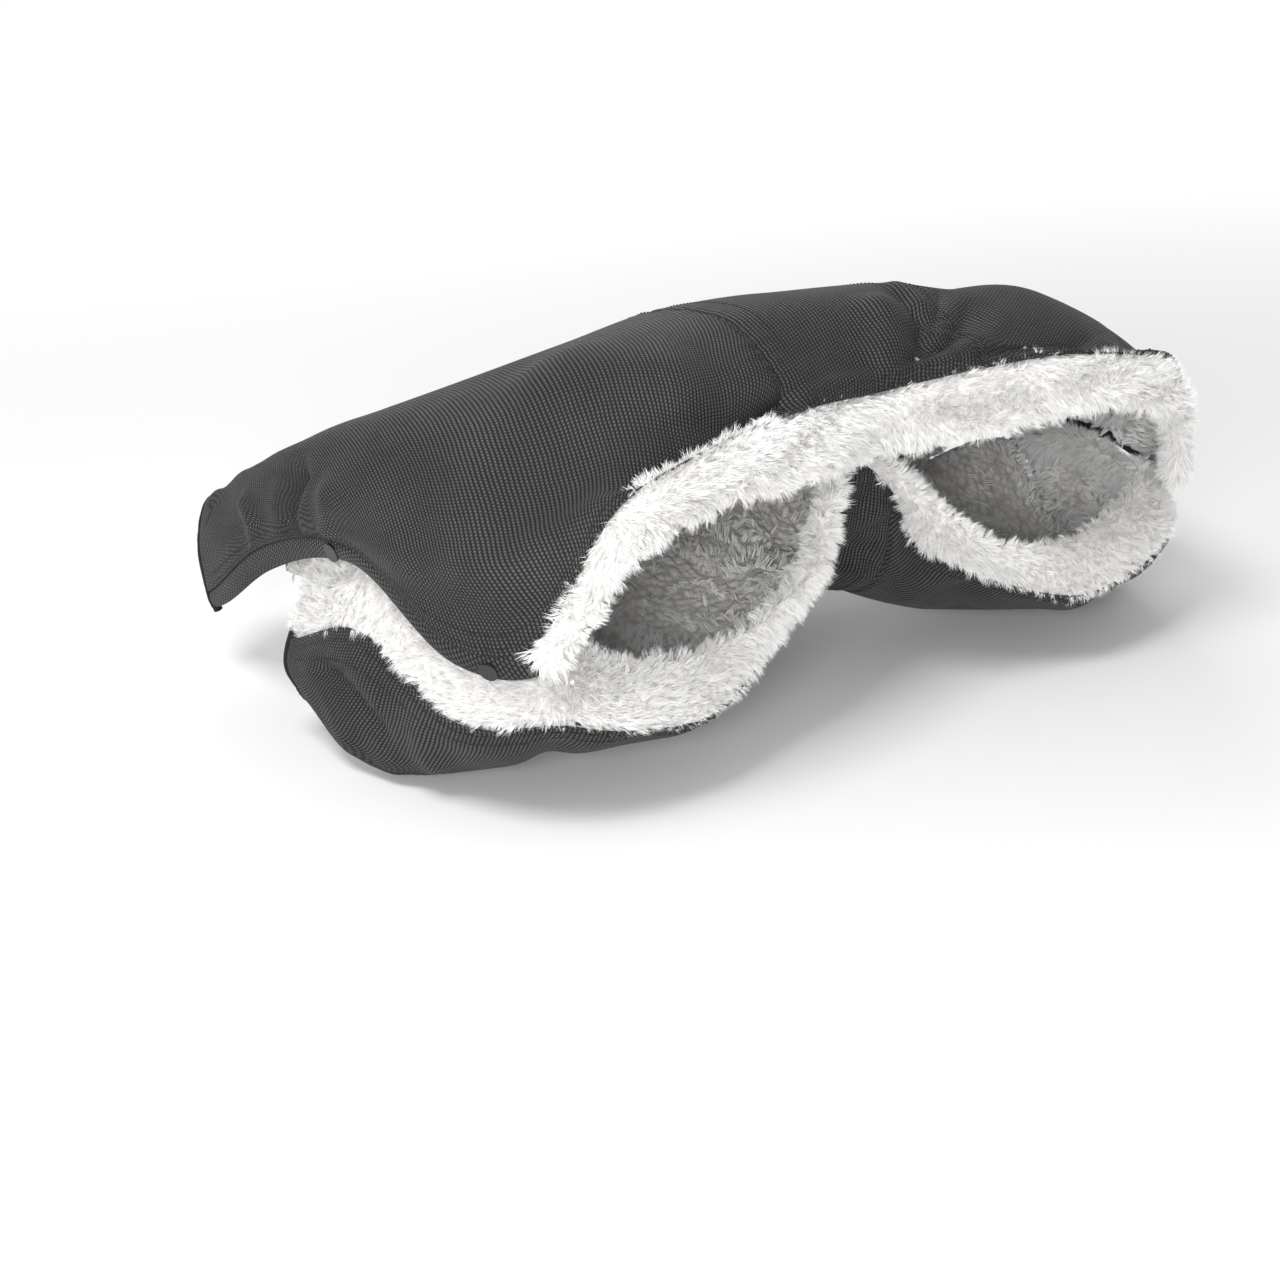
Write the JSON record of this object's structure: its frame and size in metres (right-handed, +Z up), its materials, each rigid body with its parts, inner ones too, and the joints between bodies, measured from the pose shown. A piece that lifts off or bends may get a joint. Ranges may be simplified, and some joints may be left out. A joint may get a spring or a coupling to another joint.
{
  "type": "hand warmer muff",
  "caption": "Quilted hand muff for a pushchair handlebar, lined with white plush, with two hand mouths and a lower panel that opens",
  "frame": {"origin": "on the floor, under the middle of the muff's outline", "axes": "+X along the handlebar to the user's right, +Y towards the pushchair, +Z up"},
  "size_m": [0.5488, 0.308, 0.2233],
  "materials": {
    "outer_fabric": "black ribbed polyester weave, dull sheen",
    "plush": "long white plush pile",
    "wadding": "loose polyester fibre",
    "binding_tape": "black bias tape, fine twill",
    "stud_metal": "antique brass, worn",
    "spring_wire": "bright spring wire"
  },
  "bodies": {
    "upper_wrap": {"shell_upper_left": "outer_fabric", "shell_upper_centre": "outer_fabric", "shell_upper_right": "outer_fabric", "wadding_upper_left": "wadding", "wadding_upper_centre": "wadding", "wadding_upper_right": "wadding", "lining_upper": "plush", "lip_band_upper": "plush", "lip_hem_left": "binding_tape", "lip_hem_right": "binding_tape", "end_binding_left": "binding_tape", "end_binding_right": "binding_tape", "front_piping": "binding_tape", "socket_caps": "stud_metal", "stud_sockets": "stud_metal", "socket_springs": "spring_wire"},
    "lower_panel": {"shell_lower_left": "outer_fabric", "shell_lower_centre": "outer_fabric", "shell_lower_right": "outer_fabric", "wadding_lower_left": "wadding", "wadding_lower_centre": "wadding", "wadding_lower_right": "wadding", "lining_lower": "plush", "lip_band_lower": "plush", "side_binding_left": "binding_tape", "side_binding_right": "binding_tape", "studs": "stud_metal", "stud_posts": "stud_metal"}
  },
  "joints": [
    {"name": "lower_panel_opens", "type": "hinge", "parent": "upper_wrap", "child": "lower_panel", "pos_m": [0, 0.039, 0.0618], "axis": [1, 0, 0], "range_deg": [0, 90]}
  ]
}
